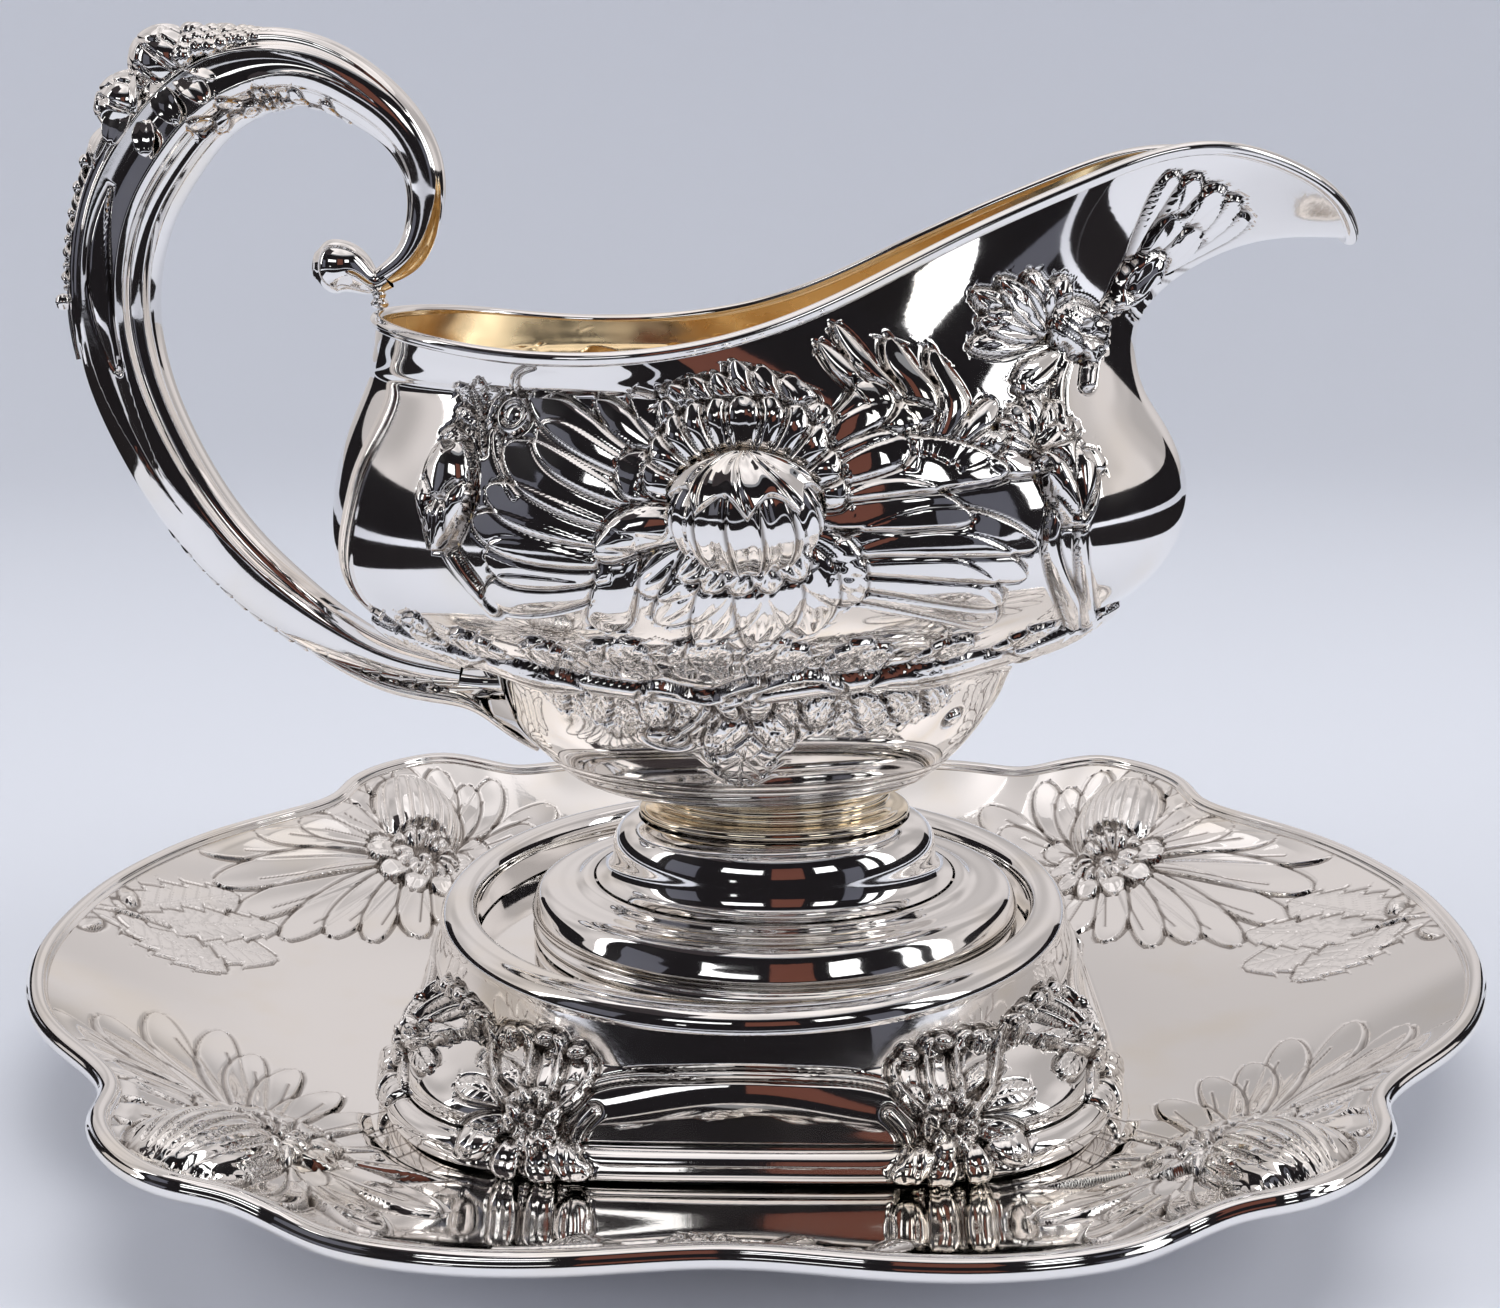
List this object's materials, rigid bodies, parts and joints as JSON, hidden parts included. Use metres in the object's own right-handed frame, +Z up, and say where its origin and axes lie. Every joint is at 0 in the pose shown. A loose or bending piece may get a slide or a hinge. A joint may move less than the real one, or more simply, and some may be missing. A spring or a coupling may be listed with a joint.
{
  "type": "sauce boat on stand",
  "caption": "Silver sauce boat with a gilt inside, a scrolled handle and a long lip, standing loose in the raised round well of a lobed stand chased with flowers.",
  "frame": {"origin": "on the table under the middle of the stand", "axes": "+Z up, +X towards the spout, +Y away from the near long side"},
  "size_m": [0.2686, 0.231, 0.1872],
  "materials": {
    "stand_silver": "polished silver, darkened in the chasing",
    "boat_silver": "polished silver outside, gilt inside the bowl"
  },
  "bodies": {
    "stand": {"tray_plate": "stand_silver", "tray_border_moulding": "stand_silver", "stand_base_moulding": "stand_silver", "well_drum": "stand_silver", "well_ring": "stand_silver", "well_floor": "stand_silver"},
    "boat": {"foot_flange": "boat_silver", "foot_pedestal": "boat_silver", "foot_collar": "boat_silver", "bowl_shell": "boat_silver", "rim_wire": "boat_silver", "handle_near_half": "boat_silver", "handle_far_half": "boat_silver", "handle_scroll_ball": "boat_silver", "handle_rim_beads": "boat_silver", "handle_foot_plate": "boat_silver", "handle_flower_bud": "boat_silver", "handle_side_bud": "boat_silver", "handle_floret_sprig": "boat_silver", "handle_leaf_trail": "boat_silver"}
  },
  "joints": [
    {"name": "boat_lift", "type": "slide", "parent": "stand", "child": "boat", "axis": [0, 0, 1], "range_m": [0, 0.12]}
  ]
}
